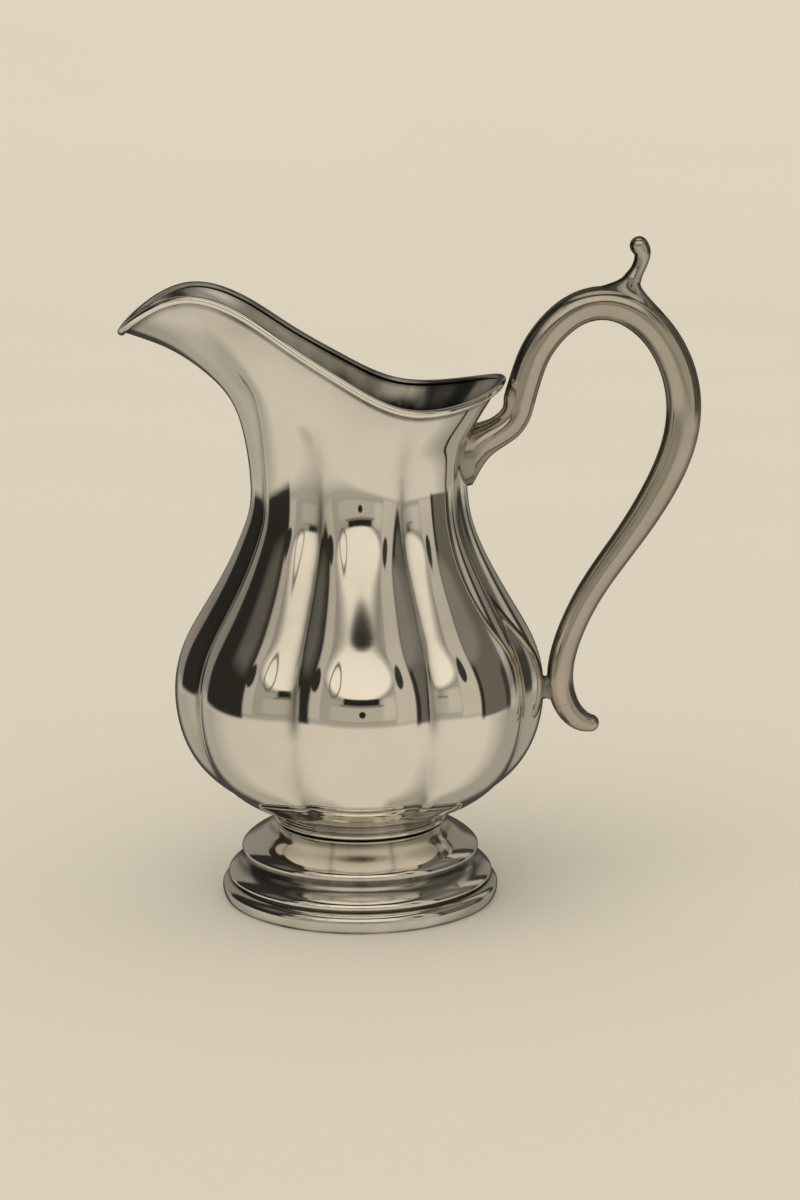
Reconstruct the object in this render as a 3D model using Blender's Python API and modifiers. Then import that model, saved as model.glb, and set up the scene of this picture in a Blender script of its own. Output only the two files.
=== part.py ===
"""Silver water pitcher: a lobed, bellied jug with a wavy spouted mouth,
a stepped round foot and a hollow scroll handle with a thumb spur."""

import bpy
import bmesh
import numpy as np
from math import cos, pi, radians, sin, sqrt
from mathutils import Vector

MM = 0.001

# Driving dimensions, in millimetres. The pitcher's axis stands at AXIS_X, because
# the origin is the middle of its footprint, with the handle counted in.
AXIS_X = -19.3
WALL = 1.0
GAP = 0.3
LOBES = 8
VALLEY_SOFTNESS = radians(1.9)
COLUMN_ANGLES = np.radians(np.arange(0, 360, 7.5))
BODY_ROWS = 26
# Rows of the surface where its exact place or direction is asked for, and a small turn.
FINE_ROWS = 400
STEP = 0.002

# Belly and neck, bottom to top: radius on a lobe's crest, height, depth of the valleys,
# and how far it reaches front to back as a share of that radius.
BELLY = (
    (31.0, 35.6, 0.0, 1.0),
    (36.4, 36.6, 0.3, 1.0),
    (45.1, 39.8, 1.4, 1.0),
    (58.4, 49.0, 3.0, 1.0),
    (67.6, 63.0, 4.2, 1.0),
    (71.0, 81.0, 4.6, 1.0),
    (67.6, 98.5, 4.5, 1.0),
    (59.2, 114.2, 4.2, 0.995),
    (50.2, 130.0, 3.7, 0.98),
    (43.6, 145.0, 3.1, 0.95),
    (41.0, 160.0, 2.2, 0.925),
)

# Middle of the mouth wire on the handle side, round one half to the spout's tip:
# angle round the body, x, y, height, and how steeply the wall rises to meet it.
MOUTH = (
    (0, 54.0, 0.0, 200.4, 56),
    (22, 49.5, 18.5, 198.4, 62),
    (45, 37.0, 35.0, 194.8, 69),
    (70, 15.5, 45.0, 194.2, 74),
    (95, -6.5, 41.0, 204.3, 78),
    (120, -28.0, 34.0, 217.6, 76),
    (142, -48.5, 30.5, 230.2, 68),
    (155, -63.5, 27.5, 233.4, 52),
    (166, -77.0, 21.0, 228.6, 34),
    (174, -85.8, 11.0, 221.8, 22),
    (180, -88.3, 0.0, 219.0, 17),
)
MOUTH_WIRE = 3.2
# Where each meridian passes between the neck and the mouth, as a share of the way.
FLARE_STEPS = (0.30, 0.55, 0.77, 0.91, 1.0)
FLARE_RISE = 0.55
FLARE_LIP = 0.46
FLARE_OUT = 0.55

# Turned foot, radius and height, top to bottom.
COLLAR = (
    (32.2, 35.0),
    (31.2, 33.6),
    (31.6, 32.3),
    (32.9, 31.9),
    (33.5, 31.2),
    (32.9, 30.5),
    (30.0, 30.5),
    (30.0, 35.0),
)
PEDESTAL = (
    (31.2, 30.2),
    (33.4, 29.4),
    (37.0, 26.6),
    (40.8, 24.2),
    (44.2, 21.8),
    (45.9, 19.2),
    (45.4, 17.6),
    (45.9, 15.6),
    (48.0, 13.0),
    (50.3, 11.0),
    (51.2, 9.3),
    (50.6, 8.0),
)
BASE_RING = (
    (50.4, 7.7),
    (52.6, 6.4),
    (53.6, 4.6),
    (53.4, 2.4),
    (52.4, 0.0),
    (47.8, 0.0),
    (47.8, 7.7),
)
FOOT_WALL = 1.2
TURNING_STEPS = 48

# Hollow handle, neck to tail: x, height, thickness seen from the side.
HANDLE = (
    (60.6, 193.0, 12.1),
    (63.4, 202.6, 11.9),
    (68.4, 213.8, 12.0),
    (79.5, 225.2, 12.4),
    (93.0, 228.8, 12.8),
    (105.2, 224.2, 12.9),
    (115.3, 213.6, 12.9),
    (122.0, 197.0, 13.2),
    (121.6, 177.5, 13.0),
    (114.0, 158.0, 12.2),
    (102.5, 139.3, 11.0),
    (89.8, 120.8, 10.3),
    (81.4, 104.0, 10.0),
    (77.7, 91.0, 10.0),
    (77.6, 81.0, 10.1),
    (80.6, 72.6, 9.6),
    (85.3, 67.9, 8.4),
    (89.2, 66.6, 6.8),
)
HANDLE_WIDTH = 0.90
HANDLE_WALL = 1.1
TIP_FROM = 14.6
# Gaps at the handle's two joints, as shares of a station.
TIP_GAP = 0.045
ROOT_GAP = 0.06

# Cast root, neck to handle: lower edge x and height, upper edge x and height, width.
ROOT = (
    (42.6, 159.8, 43.0, 183.4, 21.0),
    (47.7, 168.8, 47.8, 184.8, 15.5),
    (53.4, 174.0, 51.0, 186.4, 12.8),
    (60.2, 178.8, 53.8, 189.0, 11.6),
    (64.6, 185.2, 54.5, 191.8, 11.0),
)

# Thumb spur above its fillet: x, height, thickness along the handle and across it.
SPUR = (
    (102.6, 238.0, 6.8, 6.4),
    (103.9, 240.5, 5.5, 5.6),
    (105.1, 243.0, 5.4, 5.3),
    (105.9, 245.7, 5.8, 5.4),
    (105.8, 248.2, 6.6, 5.8),
    (104.7, 250.2, 7.0, 6.2),
)
# The spur's seat: where its middle is along the handle, its length and width, and the
# sizes of the rings that make its underside follow the handle.
SPUR_STATION = 4.70
SPUR_LENGTH = 24.0
SPUR_WIDTH = 8.6
SPUR_SEAT = (0.3, 0.65, 1.0)
SPUR_END = (35, 65, 85)
# The fillet leaves the seat along the handle and meets the stem in its own direction.
FILLET_STEPS = (0.2, 0.4, 0.6, 0.8)
FILLET_REACH = 0.80
FILLET_LIFT = 0.6
FILLET_PULL = 2.5
STATION_LENGTH = 13.2

PAD_HEIGHT = 81.0
PAD_LENGTH = 10.0
PAD_WIDTH = 6.5


def clear_scene():
    for old in list(bpy.data.objects):
        bpy.data.objects.remove(old, do_unlink=True)


def silver(name, shade, roughness):
    material = bpy.data.materials.new(name)
    material.use_nodes = True
    shader = material.node_tree.nodes["Principled BSDF"]
    shader.inputs["Base Color"].default_value = (shade, shade * 0.985, shade * 0.95, 1.0)
    shader.inputs["Metallic"].default_value = 1.0
    shader.inputs["Roughness"].default_value = roughness
    material.diffuse_color = (shade, shade * 0.985, shade * 0.95, 1.0)
    return material


def smooth_through(knots, values, at):
    """A cubic curve with no break in its curvature, through values at knots."""
    knots = np.asarray(knots, float)
    values = np.asarray(values, float)
    count = len(knots)
    step = np.diff(knots)
    flat = values.reshape(count, -1)
    slope = np.diff(flat, axis=0) / step[:, None]
    matrix = np.eye(count)
    right = np.zeros_like(flat)
    for i in range(1, count - 1):
        matrix[i, i - 1:i + 2] = step[i - 1], 2 * (step[i - 1] + step[i]), step[i]
        right[i] = 6 * (slope[i] - slope[i - 1])
    bend = np.linalg.solve(matrix, right)
    at = np.asarray(at, float)
    k = np.clip(np.searchsorted(knots, at, side="right") - 1, 0, count - 2)
    h = step[k][:, None]
    a = (knots[k + 1] - at)[:, None]
    b = (at - knots[k])[:, None]
    curve = (bend[k] * a ** 3 + bend[k + 1] * b ** 3) / (6 * h)
    curve += (flat[k] / h - bend[k] * h / 6) * a + (flat[k + 1] / h - bend[k + 1] * h / 6) * b
    return curve.reshape((len(at),) + values.shape[1:])


def square_to(heading, run):
    """Unit vectors along heading, with what lies along run taken out."""
    share = (heading * run).sum(axis=1) / (run * run).sum(axis=1)
    square = heading - run * share[:, None]
    return square / np.linalg.norm(square, axis=1)[:, None]


def mouth_curve(angles):
    """Middle of the mouth wire and the wall's rise there, all the way round."""
    half = np.array(MOUTH, float)
    knots = np.radians(half[:, 0])
    mirrored = half * np.array([1, 1, -1, 1, 1])
    knots = np.concatenate([-knots[:0:-1], knots, 2 * pi - knots[-2::-1]])
    values = np.concatenate([mirrored[:0:-1], half, mirrored[-2::-1]])[:, 1:]
    curve = smooth_through(knots, values, np.mod(angles, 2 * pi))
    return curve[:, :3], np.radians(curve[:, 3])


def valley(angles):
    """0 on a lobe's crest and 1 in the rounded valley between two lobes."""
    half = pi / LOBES
    off_crest = np.abs((angles + half) % (2 * half) - half)
    to_valley = np.sqrt((half - off_crest) ** 2 + VALLEY_SOFTNESS ** 2) - VALLEY_SOFTNESS
    widest = sqrt(half ** 2 + VALLEY_SOFTNESS ** 2) - VALLEY_SOFTNESS
    return (1 - to_valley / widest) ** 2


def body_surface(angles, rows):
    """Outer surface of the vessel: rows from the base up, one column for each angle."""
    angles = np.asarray(angles, float)
    around = np.stack([np.cos(angles), np.sin(angles)], -1)
    rings = []
    for radius, height, depth, share in BELLY:
        flat = around * (radius - depth * valley(angles))[:, None] * np.array([1, share])
        rings.append(np.column_stack([flat, np.full(len(angles), height)]))
    neck = rings[-1]
    wire, rise = mouth_curve(angles)
    outward = wire[:, :2] - neck[:, :2] * FLARE_OUT
    outward /= np.linalg.norm(outward, axis=1)[:, None]
    heading = np.column_stack([outward * np.cos(rise)[:, None], np.sin(rise)])
    run = mouth_curve(angles + STEP)[0] - wire
    lip = wire - square_to(heading, run) * (MOUTH_WIRE / 2 + GAP)
    climb = np.zeros_like(neck)
    climb[:, 2] = FLARE_RISE * (lip - neck)[:, 2]
    reach = FLARE_LIP * np.linalg.norm(lip - neck, axis=1)[:, None]
    for s in FLARE_STEPS:
        rings.append((1 - s) ** 3 * neck + 3 * (1 - s) ** 2 * s * (neck + climb)
                     + 3 * (1 - s) * s * s * (lip - heading * reach) + s ** 3 * lip)
    knots = np.arange(len(rings))
    return smooth_through(knots, np.array(rings), np.linspace(0, knots[-1], rows))


def mouth_wire_line(angles):
    """Middle of the mouth wire, set on the wall's edge and square to it."""
    edge, below = body_surface(angles, FINE_ROWS)[[-1, -2]]
    run = body_surface(angles + STEP, FINE_ROWS)[-1] - edge
    return edge + square_to(edge - below, run) * (MOUTH_WIRE / 2 + GAP)


def skin_x(side, height):
    """How far from the axis the vessel's skin is on the handle side."""
    angles = np.radians(np.linspace(-30, 30, 61))
    surface = body_surface(angles, FINE_ROWS)
    found = []
    for column in range(len(angles)):
        line = surface[:, column]
        low = np.argmin(line[:, 2])
        found.append([np.interp(height, line[low:, 2], line[low:, i]) for i in (0, 1)])
    found = np.array(found)
    return np.interp(side, found[:, 1], found[:, 0])


def handle_line(stations):
    """Centre, direction along, direction outwards and thickness of the handle."""
    knots = np.arange(len(HANDLE))
    line = smooth_through(knots, np.array(HANDLE), stations)
    ahead = smooth_through(knots, np.array(HANDLE), np.asarray(stations) + 0.01)
    along = ahead[:, :2] - line[:, :2]
    along /= np.linalg.norm(along, axis=1)[:, None]
    outward = np.column_stack([-along[:, 1], along[:, 0]])
    return line[:, :2], along, outward, line[:, 2]


def to_world(points):
    return [Vector(((x + AXIS_X) * MM, y * MM, z * MM)) for x, y, z in points]


def add_object(name, mesh, material, smooth_angle=40):
    mesh.materials.append(material)
    mesh.shade_smooth()
    mesh.set_sharp_from_angle(angle=radians(smooth_angle))
    piece = bpy.data.objects.new(name, mesh)
    pitcher.objects.link(piece)
    return piece


def loft(name, rings, material, caps=True):
    """Skin over rings of points, each ring with the same number of points."""
    bm = bmesh.new()
    made = [[bm.verts.new(p) for p in to_world(ring)] for ring in rings]
    count = len(made[0])
    for low, high in zip(made, made[1:]):
        for i in range(count):
            j = (i + 1) % count
            bm.faces.new((low[i], low[j], high[j], high[i]))
    if caps:
        bm.faces.new(reversed(made[0]))
        bm.faces.new(made[-1])
        bmesh.ops.recalc_face_normals(bm, faces=bm.faces)
    mesh = bpy.data.meshes.new(name)
    bm.to_mesh(mesh)
    bm.free()
    return add_object(name, mesh, material)


def turned(name, profile, material, closed, wall=0.0):
    """A profile of radius and height, turned round the pitcher's axis."""
    mesh = bpy.data.meshes.new(name)
    points = [(r * MM, 0.0, z * MM) for r, z in profile]
    edges = [(i, i + 1) for i in range(len(points) - 1)]
    if closed:
        edges.append((len(points) - 1, 0))
    mesh.from_pydata(points, edges, [])
    mesh.materials.append(material)
    piece = bpy.data.objects.new(name, mesh)
    piece.location.x = AXIS_X * MM
    pitcher.objects.link(piece)
    screw = piece.modifiers.new("turning", "SCREW")
    screw.steps = TURNING_STEPS
    screw.render_steps = TURNING_STEPS
    screw.use_merge_vertices = True
    screw.merge_threshold = 0.00001
    screw.use_smooth_shade = True
    if wall:
        thick = piece.modifiers.new("wall", "SOLIDIFY")
        thick.thickness = wall * MM
        thick.offset = -1.0
        thick.use_even_offset = True
    return piece


def make_body(material):
    surface = body_surface(COLUMN_ANGLES, BODY_ROWS)
    body = loft("body_shell", surface, material, caps=False)
    wall = body.modifiers.new("wall", "SOLIDIFY")
    wall.thickness = WALL * MM
    wall.offset = -1.0
    wall.use_even_offset = True
    return body


def make_base_disc(material):
    radius = BELLY[0][0] - GAP
    top = BELLY[0][1] + WALL
    bm = bmesh.new()
    bmesh.ops.create_cone(bm, cap_ends=True, segments=TURNING_STEPS, depth=WALL * MM,
                          radius1=radius * MM, radius2=radius * MM)
    mesh = bpy.data.meshes.new("body_base_disc")
    bm.to_mesh(mesh)
    bm.free()
    disc = add_object("body_base_disc", mesh, material)
    disc.location = (AXIS_X * MM, 0.0, (top - WALL / 2) * MM)
    return disc


def make_mouth_wire(material):
    wire = mouth_wire_line(COLUMN_ANGLES)
    curve = bpy.data.curves.new("mouth_rim_wire", "CURVE")
    curve.dimensions = "3D"
    curve.bevel_depth = MOUTH_WIRE / 2 * MM
    curve.bevel_resolution = 2
    spline = curve.splines.new("POLY")
    spline.points.add(len(wire) - 1)
    for point, place in zip(spline.points, to_world(wire)):
        point.co = (*place, 1.0)
    spline.use_cyclic_u = True
    curve.materials.append(material)
    piece = bpy.data.objects.new("mouth_rim_wire", curve)
    pitcher.objects.link(piece)
    return piece


def half_ring(centre, outward, thickness, side):
    """C-shaped section of one stamped half, its open edges on the seam."""
    turns = np.linspace(0, pi, 7)
    ring = []
    for shrink, angles in ((0.0, turns), (HANDLE_WALL, turns[::-1])):
        for a in angles:
            reach = (thickness / 2 - shrink) * cos(a)
            width = (thickness * HANDLE_WIDTH / 2 - shrink) * sin(a)
            x, z = centre + outward * reach
            ring.append((x, side * (GAP / 2 + width), z))
    return ring


def make_handle_half(name, side, material):
    stations = np.linspace(0.0, TIP_FROM, 40)
    centre, _, outward, thickness = handle_line(stations)
    rings = [half_ring(*row, side) for row in zip(centre, outward, thickness)]
    return loft(name, rings, material)


def make_scroll_tip(material):
    start = TIP_FROM + TIP_GAP
    stations = np.linspace(start, len(HANDLE) - 1, 7)
    centre, along, outward, thickness = handle_line(stations)
    rounding = np.linspace(0, 80, 4)[1:]
    rings = []
    places = [(c, o, t) for c, o, t in zip(centre, outward, thickness)]
    for a in np.radians(rounding):
        tip = centre[-1] + along[-1] * thickness[-1] / 2 * sin(a)
        places.append((tip, outward[-1], thickness[-1] * cos(a)))
    for middle, out, thick in places:
        turn = np.linspace(0, 2 * pi, 12, endpoint=False)
        across = HANDLE_WIDTH * thick / 2 * np.sin(turn)
        flat = middle + out * (thick / 2 * np.cos(turn))[:, None]
        rings.append(np.column_stack([flat[:, 0], across, flat[:, 1]]))
    return loft("handle_scroll_tip", rings, material)


def make_root(material):
    end_centre, _, end_out, end_thick = handle_line([0.0])
    low = end_centre[0] - end_out[0] * end_thick[0] / 2
    high = end_centre[0] + end_out[0] * end_thick[0] / 2
    joint = (*low, *high, end_thick[0] * HANDLE_WIDTH)
    sections = np.array([*ROOT, joint])
    knots = np.arange(len(sections))
    sections = smooth_through(knots, sections, np.linspace(0, knots[-1] - ROOT_GAP, 11))
    turn = np.linspace(0, 2 * pi, 16, endpoint=False)
    rings = []
    for x_low, z_low, x_high, z_high, width in sections:
        share = (1 + np.cos(turn)) / 2
        across = width / 2 * np.sin(turn)
        x = x_low + (x_high - x_low) * share
        z = z_low + (z_high - z_low) * share
        rings.append(np.column_stack([x, across, z]))
    foot = rings[0]
    middle = foot.mean(axis=0)
    seat = [middle + (foot - middle) * size for size in (0.3, 0.65)]
    rings = seat + rings
    for ring in rings[:3]:
        for point in ring:
            point[0] = skin_x(point[1], point[2]) + GAP
    return loft("handle_root", rings, material)


def make_lower_pad(material):
    """Thin oval pad, curved like the belly on one face and like the handle on the other."""
    turn = np.linspace(0, 2 * pi, 16, endpoint=False)
    stations = np.linspace(12.5, 15.0, 60)
    centre, _, outward, thick = handle_line(stations)
    rings = []
    for share, size in ((0, 0.3), (0, 0.6), (0, 0.9), (0.5, 1.0), (1, 0.9), (1, 0.6), (1, 0.3)):
        ring = []
        for a in turn:
            across = PAD_WIDTH / 2 * size * sin(a)
            z = PAD_HEIGHT + PAD_LENGTH / 2 * size * cos(a)
            bulge = thick / 2 * np.sqrt(1 - (across / (thick * HANDLE_WIDTH / 2)) ** 2) + GAP
            face = centre - outward * bulge[:, None]
            outer = np.interp(-z, -face[:, 1], face[:, 0])
            inner = skin_x(across, z) + GAP
            ring.append((inner + (outer - inner) * share, across, z))
        rings.append(ring)
    return loft("handle_lower_pad", rings, material)


def spur_seat(size, lift, turn):
    """Oval lying on the top of the handle, lifted clear of it."""
    stations = SPUR_STATION - size * SPUR_LENGTH / 2 * np.cos(turn) / STATION_LENGTH
    centre, _, outward, thick = handle_line(stations)
    across = size * SPUR_WIDTH / 2 * np.sin(turn)
    bulge = thick / 2 * np.sqrt(1 - (across / (thick * HANDLE_WIDTH / 2)) ** 2)
    seat = centre + outward * (bulge + lift)[:, None]
    return np.column_stack([seat[:, 0], across, seat[:, 1]])


def make_spur(material):
    """Curled thumb piece that grows out of its seat in a fillet and ends in a knob."""
    turn = np.linspace(0, 2 * pi, 16, endpoint=False)
    rings = [spur_seat(size, GAP, turn) for size in SPUR_SEAT]
    knots = np.arange(len(SPUR))
    line = smooth_through(knots, np.array(SPUR), np.linspace(0, knots[-1], 9))
    heading = np.gradient(line[:, :2], axis=0)
    heading /= np.linalg.norm(heading, axis=1)[:, None]
    stem = []
    for (x, z, long, wide), (hx, hz) in zip(line, heading):
        across = long / 2 * np.cos(turn)
        stem.append(np.column_stack([x - hz * across, wide / 2 * np.sin(turn), z + hx * across]))
    seat = rings[-1]
    creep = spur_seat(FILLET_REACH, GAP + FILLET_LIFT, turn)
    below = stem[0] - np.array([heading[0, 0], 0, heading[0, 1]]) * FILLET_PULL
    for t in FILLET_STEPS:
        rings.append((1 - t) ** 3 * seat + 3 * (1 - t) ** 2 * t * creep
                     + 3 * (1 - t) * t * t * below + t ** 3 * stem[0])
    rings += stem
    x, z, long, wide = line[-1]
    hx, hz = heading[-1]
    for a in np.radians(SPUR_END):
        across = long / 2 * cos(a) * np.cos(turn)
        middle_x = x + hx * long / 2 * sin(a)
        middle_z = z + hz * long / 2 * sin(a)
        rings.append(np.column_stack([middle_x - hz * across, wide / 2 * cos(a) * np.sin(turn),
                                      middle_z + hx * across]))
    return loft("thumb_spur", rings, material)


clear_scene()
pitcher = bpy.data.collections.new("silver_water_pitcher")
bpy.context.scene.collection.children.link(pitcher)

make_body(silver("polished_body_silver", 0.90, 0.08))
make_base_disc(silver("plain_disc_silver", 0.80, 0.25))
make_mouth_wire(silver("rim_wire_silver", 0.92, 0.06))
turned("foot_collar", COLLAR, silver("collar_silver", 0.86, 0.10), closed=True)
turned("foot_pedestal", PEDESTAL, silver("spun_foot_silver", 0.88, 0.09), closed=False,
       wall=FOOT_WALL)
turned("foot_base_ring", BASE_RING, silver("base_ring_silver", 0.84, 0.12), closed=True)
make_root(silver("cast_root_silver", 0.86, 0.12))
make_handle_half("handle_left_half", -1, silver("left_half_silver", 0.88, 0.10))
make_handle_half("handle_right_half", 1, silver("right_half_silver", 0.88, 0.10))
make_scroll_tip(silver("scroll_tip_silver", 0.86, 0.10))
make_lower_pad(silver("lower_pad_silver", 0.80, 0.18))
make_spur(silver("thumb_spur_silver", 0.90, 0.08))
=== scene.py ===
import bmesh
import bpy
import numpy as np
from math import cos, pi, radians, sin, sqrt
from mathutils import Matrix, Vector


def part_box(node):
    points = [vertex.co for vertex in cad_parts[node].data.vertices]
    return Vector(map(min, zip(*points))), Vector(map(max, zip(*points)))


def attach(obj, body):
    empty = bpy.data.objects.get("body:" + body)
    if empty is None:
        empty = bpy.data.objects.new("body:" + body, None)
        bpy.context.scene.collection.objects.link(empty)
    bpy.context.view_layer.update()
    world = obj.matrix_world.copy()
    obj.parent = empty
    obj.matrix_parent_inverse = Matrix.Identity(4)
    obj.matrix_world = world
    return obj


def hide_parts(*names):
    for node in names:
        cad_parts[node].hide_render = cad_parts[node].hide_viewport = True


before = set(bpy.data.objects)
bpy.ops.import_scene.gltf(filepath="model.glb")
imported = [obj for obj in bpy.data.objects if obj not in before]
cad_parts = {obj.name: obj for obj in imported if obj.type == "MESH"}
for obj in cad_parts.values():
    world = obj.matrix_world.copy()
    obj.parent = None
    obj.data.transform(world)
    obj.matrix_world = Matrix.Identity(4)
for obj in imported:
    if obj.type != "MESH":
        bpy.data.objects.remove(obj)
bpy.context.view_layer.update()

mm = 0.001
footLow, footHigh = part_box("foot_base_ring")
axisX = (footLow[0] + footHigh[0]) / 2
print("frame loaded, pitcher axis at x =", round(axisX, 5))


# curves, meshes and pieces

def smoothThrough(knots, values, at):
    # cubic curve with even curvature through the values, one row for each place in at
    knots = np.asarray(knots, float)
    values = np.asarray(values, float)
    count = len(knots)
    step = np.diff(knots)
    flat = values.reshape(count, -1)
    slope = np.diff(flat, axis=0) / step[:, None]
    matrix = np.eye(count)
    right = np.zeros_like(flat)
    for i in range(1, count - 1):
        matrix[i, i - 1:i + 2] = step[i - 1], 2 * (step[i - 1] + step[i]), step[i]
        right[i] = 6 * (slope[i] - slope[i - 1])
    bend = np.linalg.solve(matrix, right)
    at = np.asarray(at, float)
    k = np.clip(np.searchsorted(knots, at, side="right") - 1, 0, count - 2)
    h = step[k][:, None]
    a = (knots[k + 1] - at)[:, None]
    b = (at - knots[k])[:, None]
    curve = (bend[k] * a ** 3 + bend[k + 1] * b ** 3) / (6 * h)
    curve += (flat[k] / h - bend[k] * h / 6) * a + (flat[k + 1] / h - bend[k + 1] * h / 6) * b
    return curve.reshape((len(at),) + values.shape[1:])


def along(places, stops):
    # straight steps between stops of (place, value)
    at, values = zip(*stops)
    return np.interp(places, at, values)


def unit(vectors):
    return vectors / np.linalg.norm(vectors, axis=-1, keepdims=True)


def squareTo(heading, run):
    # the headings turned square to the run
    share = (heading * run).sum(axis=1) / (run * run).sum(axis=1)
    return unit(heading - run * share[:, None])


def meshFrom(name, points, faces, tarnishAndShade=None):
    # points in millimetres from the pitcher's axis
    places = np.asarray(points, float) * mm
    places[:, 0] += axisX
    mesh = bpy.data.meshes.new(name)
    mesh.from_pydata(places.tolist(), [], faces)
    if tarnishAndShade is not None:
        layer = mesh.attributes.new("tarnishAndShade", "FLOAT", "POINT")
        layer.data.foreach_set("value", tarnishAndShade.astype(np.float32))
    return mesh


def gridFaces(rings, around, closedUp=False):
    # quads between rings of points; closedUp joins the last ring to the first
    faces = []
    for row in range(rings if closedUp else rings - 1):
        low = row * around
        high = (row + 1) % rings * around
        for i in range(around):
            j = (i + 1) % around
            faces.append((low + i, low + j, high + j, high + i))
    return faces


def addPiece(name, mesh, node, material, sharp=None):
    mesh.materials.clear()
    mesh.materials.append(material)
    mesh.shade_smooth()
    if sharp:
        mesh.set_sharp_from_angle(angle=radians(sharp))
    piece = bpy.data.objects.new(name, mesh)
    bpy.context.scene.collection.objects.link(piece)
    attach(piece, "root")
    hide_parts(node)
    print("made", name, len(mesh.polygons), "faces")
    return piece


def outwardFacing(mesh):
    bm = bmesh.new()
    bm.from_mesh(mesh)
    bmesh.ops.recalc_face_normals(bm, faces=bm.faces)
    bm.to_mesh(mesh)
    bm.free()
    return mesh


# the silver's finishes

def linear(hexColour):
    channels = [int(hexColour[i:i + 2], 16) / 255 for i in (0, 2, 4)]
    return (*[c / 12.92 if c <= 0.04045 else ((c + 0.055) / 1.055) ** 2.4 for c in channels], 1.0)


def addNode(tree, kind, settings=None, links=None):
    # settings are node properties, or input sockets by name or number
    node = tree.nodes.new(kind)
    for key, value in (settings or {}).items():
        if isinstance(key, str) and hasattr(node, key):
            setattr(node, key, value)
        else:
            node.inputs[key].default_value = value
    for key, source in (links or {}).items():
        tree.links.new(source, node.inputs[key])
    return node


def silverFinish(name, look):
    # sterling silver: F0 near white with a warm cast, blackening to brown sulphide where a
    # polishing cloth can't reach; the same dark colour also stands for painted shade where the mask
    # holds it
    material = bpy.data.materials.new(name)
    material.use_nodes = True
    tree = material.node_tree
    shader = tree.nodes["Principled BSDF"]
    shader.inputs["Metallic"].default_value = 1.0
    place = addNode(tree, "ShaderNodeTexCoord").outputs["Object"]

    # buffing swirls: scratches a few tenths of a millimetre apart, drawn coarse enough to show
    stretched = addNode(tree, "ShaderNodeMapping", {"Scale": look["scratchStretch"]},
                        {"Vector": place})
    swirls = addNode(tree, "ShaderNodeTexNoise",
                     {"Scale": 1 / (look["scratchSpacing"] * mm), "Detail": 6.0, "Distortion": 1.2},
                     {"Vector": stretched.outputs[0]}).outputs["Fac"]
    # cloudy film left by handling and air, patches about a fingertip wide
    film = addNode(tree, "ShaderNodeTexNoise",
                   {"Scale": 1 / (look["filmSize"] * mm), "Detail": 3.0, "Roughness": 0.55},
                   {"Vector": place}).outputs["Fac"]
    # planishing: the shallow waves that a hammer leaves under the polish
    waves = addNode(tree, "ShaderNodeTexNoise",
                    {"Scale": 1 / (look["waveSize"] * mm), "Detail": 1.0},
                    {"Vector": place}).outputs["Fac"]

    # the mask and the dark colour carry both tarnish and painted shade: crevices, joints, edges and
    # the inside are darkened as if in shadow
    mask = addNode(tree, "ShaderNodeAttribute", {"attribute_name": "tarnishAndShade"}).outputs["Fac"]
    blotch = addNode(tree, "ShaderNodeMath", {"operation": "MULTIPLY_ADD", 1: 0.9, 2: 0.35},
                     {0: film}).outputs[0]
    tarnishAndShadeAmount = addNode(tree, "ShaderNodeMath", {"operation": "MULTIPLY", "use_clamp": True},
                   {0: mask, 1: blotch}).outputs[0]

    bright = addNode(tree, "ShaderNodeMix", {"data_type": "RGBA", 6: linear(look["silver"]),
                                             7: linear(look["filmed"])}, {0: film})
    colour = addNode(tree, "ShaderNodeMix", {"data_type": "RGBA", 7: linear(look["tarnishedAndShadedColour"])},
                     {0: tarnishAndShadeAmount, 6: bright.outputs[2]})
    tree.links.new(colour.outputs[2], shader.inputs["Base Color"])

    swirlRough = addNode(tree, "ShaderNodeMapRange", {"From Min": 0.35, "From Max": 0.75,
                                                      "To Min": look["roughness"][0],
                                                      "To Max": look["roughness"][1]}, {0: swirls})
    rough = addNode(tree, "ShaderNodeMath", {"operation": "MULTIPLY_ADD", 1: look["dullness"]},
                    {0: tarnishAndShadeAmount, 2: swirlRough.outputs[0]})
    tree.links.new(rough.outputs[0], shader.inputs["Roughness"])

    wavy = addNode(tree, "ShaderNodeBump", {"Strength": 1.0, "Distance": look["waveDepth"] * mm},
                   {"Height": waves})
    fine = addNode(tree, "ShaderNodeBump", {"Strength": 1.0, "Distance": look["scratchDepth"] * mm},
                   {"Height": swirls, "Normal": wavy.outputs[0]})
    tree.links.new(fine.outputs[0], shader.inputs["Normal"])
    material.diffuse_color = linear(look["silver"])
    return material


# the dark colour below stands both for tarnish and for painted shade
polished = dict(silver="F5F2EA", filmed="EBE7DC", tarnishedAndShadedColour="24221C", roughness=(0.03, 0.06),
                dullness=0.22, scratchSpacing=0.6, scratchStretch=(1.0, 1.0, 6.0),
                scratchDepth=0.0002, filmSize=18.0, waveSize=22.0, waveDepth=0.02)
mirrorBuffedSilver = silverFinish("mirror_buffed_silver", polished)
wornWireSilver = silverFinish("worn_round_wire_silver", {**polished, "roughness": (0.05, 0.10),
                                                         "waveDepth": 0.004, "waveSize": 9.0})
spunSilver = silverFinish("spun_and_burnished_silver", {**polished,
                                                        "scratchStretch": (1.0, 1.0, 40.0),
                                                        "roughness": (0.06, 0.12), "waveDepth": 0.004})
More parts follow.
